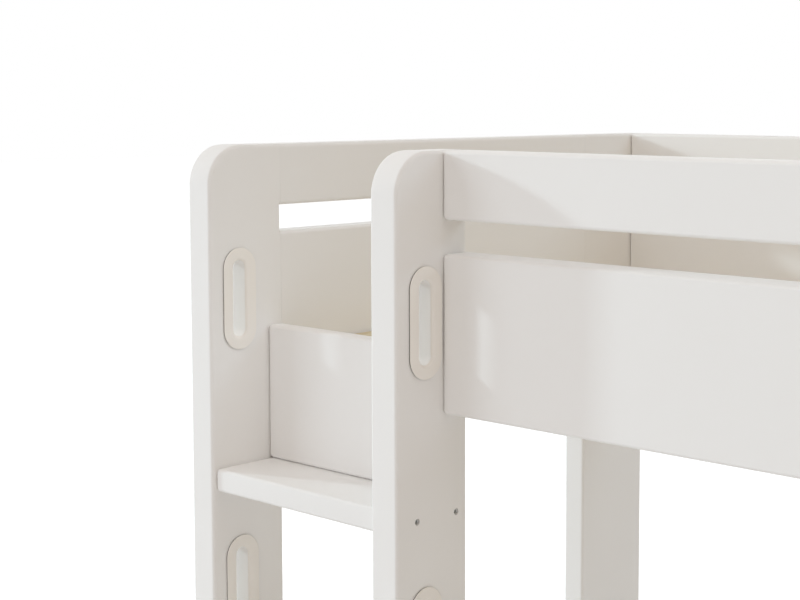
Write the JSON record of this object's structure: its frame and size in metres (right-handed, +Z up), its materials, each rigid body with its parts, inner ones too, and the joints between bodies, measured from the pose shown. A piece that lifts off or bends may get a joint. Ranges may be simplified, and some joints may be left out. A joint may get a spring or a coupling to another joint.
{
  "type": "loft bed",
  "caption": "Child's loft bed on slab posts with a ladder in one corner, oval grip slots in the ladder stiles, guard rails on all sides and a slatted base.",
  "frame": {"origin": "on the floor, under the centre of the bounding box", "axes": "+X along the bed away from the ladder, +Y from the ladder side to the wall side, +Z up"},
  "size_m": [2.1124, 1.087, 1.39],
  "materials": {
    "painted_wood": "warm white satin paint",
    "grip_liner": "fine matte beige",
    "raw_wood": "planed, uncoated",
    "steel_fixings": "dark zinc plate"
  },
  "bodies": {
    "root": {"front_left_post": "painted_wood", "ladder_post": "painted_wood", "front_right_post": "painted_wood", "rear_left_post": "painted_wood", "rear_right_post": "painted_wood", "front_top_rail": "painted_wood", "front_side_panel": "painted_wood", "rear_top_rail": "painted_wood", "rear_side_panel": "painted_wood", "left_end_top_rail": "painted_wood", "left_end_panel": "painted_wood", "right_end_top_rail": "painted_wood", "right_end_panel": "painted_wood", "entry_panel": "painted_wood", "tread_1": "painted_wood", "tread_2": "painted_wood", "tread_3": "painted_wood", "tread_1_screw_left_front": "steel_fixings", "tread_1_screw_left_rear": "steel_fixings", "tread_1_screw_right_front": "steel_fixings", "tread_1_screw_right_rear": "steel_fixings", "tread_2_screw_left_front": "steel_fixings", "tread_2_screw_left_rear": "steel_fixings", "tread_2_screw_right_front": "steel_fixings", "tread_2_screw_right_rear": "steel_fixings", "tread_3_screw_left_front": "steel_fixings", "tread_3_screw_left_rear": "steel_fixings", "tread_3_screw_right_front": "steel_fixings", "tread_3_screw_right_rear": "steel_fixings", "front_rail_bolt_left": "steel_fixings", "front_panel_bolt_left": "steel_fixings", "front_rail_bolt_right": "steel_fixings", "front_panel_bolt_right": "steel_fixings", "rear_rail_bolt_left": "steel_fixings", "rear_panel_bolt_left": "steel_fixings", "rear_rail_bolt_right": "steel_fixings", "rear_panel_bolt_right": "steel_fixings", "front_slat_ledger": "raw_wood", "rear_slat_ledger": "raw_wood", "slat_01": "raw_wood", "slat_02": "raw_wood", "slat_03": "raw_wood", "slat_04": "raw_wood", "slat_05": "raw_wood", "slat_06": "raw_wood", "slat_07": "raw_wood", "slat_08": "raw_wood", "slat_09": "raw_wood", "slat_10": "raw_wood", "slat_11": "raw_wood", "slat_12": "raw_wood", "slat_13": "raw_wood", "grip_left_1_ladder_side": "grip_liner", "grip_left_1_outer_side": "grip_liner", "grip_left_2_ladder_side": "grip_liner", "grip_left_2_outer_side": "grip_liner", "grip_right_1_ladder_side": "grip_liner", "grip_right_1_outer_side": "grip_liner", "grip_right_2_ladder_side": "grip_liner", "grip_right_2_outer_side": "grip_liner"}
  },
  "joints": []
}
